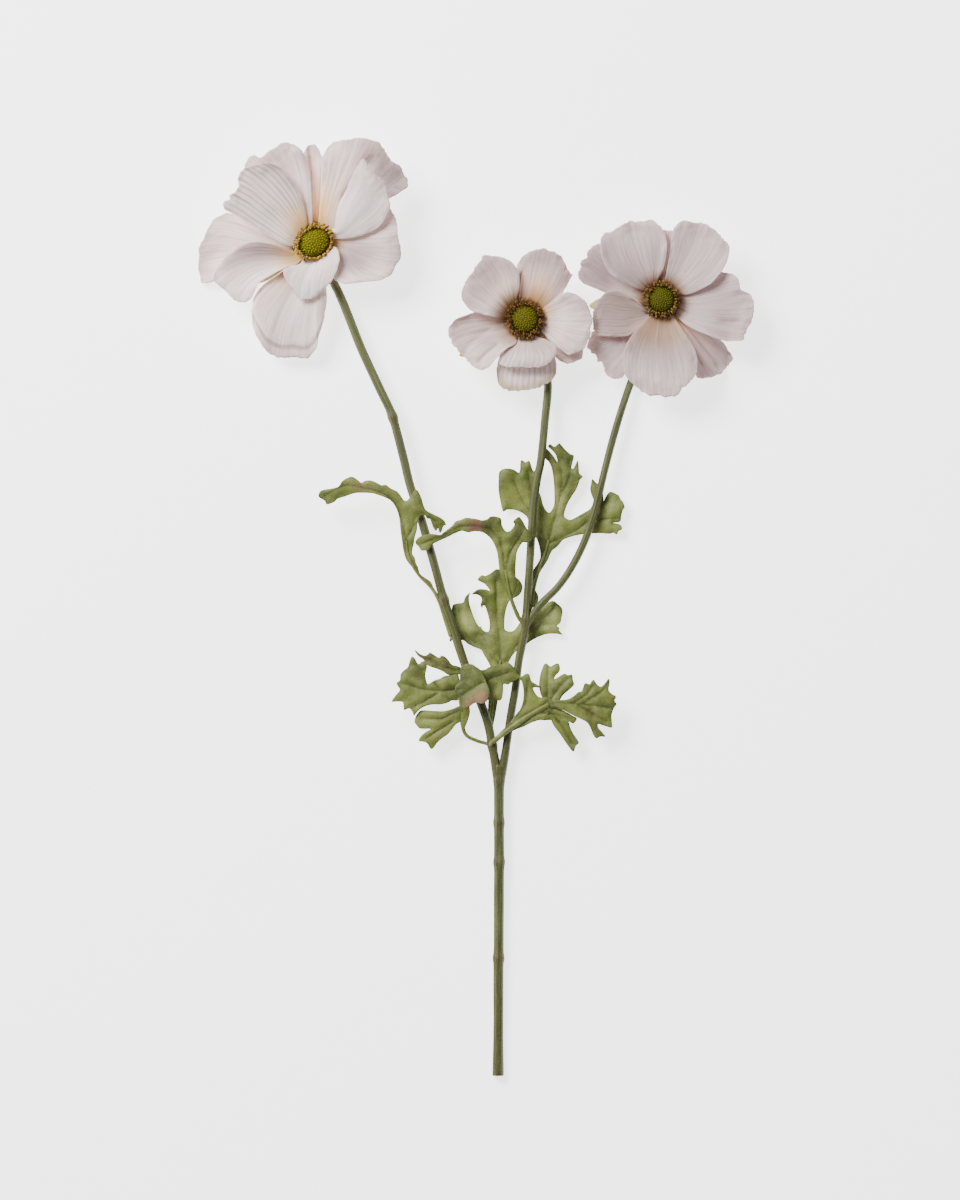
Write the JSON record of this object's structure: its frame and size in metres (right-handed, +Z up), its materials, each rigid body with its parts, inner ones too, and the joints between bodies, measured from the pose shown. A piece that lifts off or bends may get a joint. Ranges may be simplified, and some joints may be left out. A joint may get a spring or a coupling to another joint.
{
  "type": "ranunculus flower",
  "caption": "Cut ranunculus spray with a forked green stem, open white single blooms with green domed centres, and toothed divided leaves, lying on a surface.",
  "frame": {"origin": "middle of the part's bounding box on the surface it lies on", "axes": "+Z up from the surface, towards which the blooms face; +Y along the stem from its cut end to the blooms; +X to the right as seen from above"},
  "size_m": [0.278, 0.4678, 0.0366],
  "materials": {
    "stem_green": "smooth green plant skin, faintly ribbed",
    "leaf_green": "soft matte leaf with fine veins",
    "sepal_green": "soft matte leaf",
    "petal_white": "satin white petal with fine streaks",
    "stamen_golden_brown": "dusty matte",
    "center_olive": "dimpled matte"
  },
  "bodies": {
    "root": {"stem": "stem_green", "leaf_left_arching": "leaf_green", "leaf_middle_arching": "leaf_green", "leaf_upper_right": "leaf_green", "leaf_behind_fork": "leaf_green", "leaf_lower_left": "leaf_green", "leaf_lower_right": "leaf_green", "left_bloom_sepals": "sepal_green", "left_bloom_petals": "petal_white", "left_bloom_stamens": "stamen_golden_brown", "left_bloom_center": "center_olive", "middle_bloom_sepals": "sepal_green", "middle_bloom_petals": "petal_white", "middle_bloom_stamens": "stamen_golden_brown", "middle_bloom_center": "center_olive", "right_bloom_sepals": "sepal_green", "right_bloom_petals": "petal_white", "right_bloom_stamens": "stamen_golden_brown", "right_bloom_center": "center_olive"}
  },
  "joints": []
}
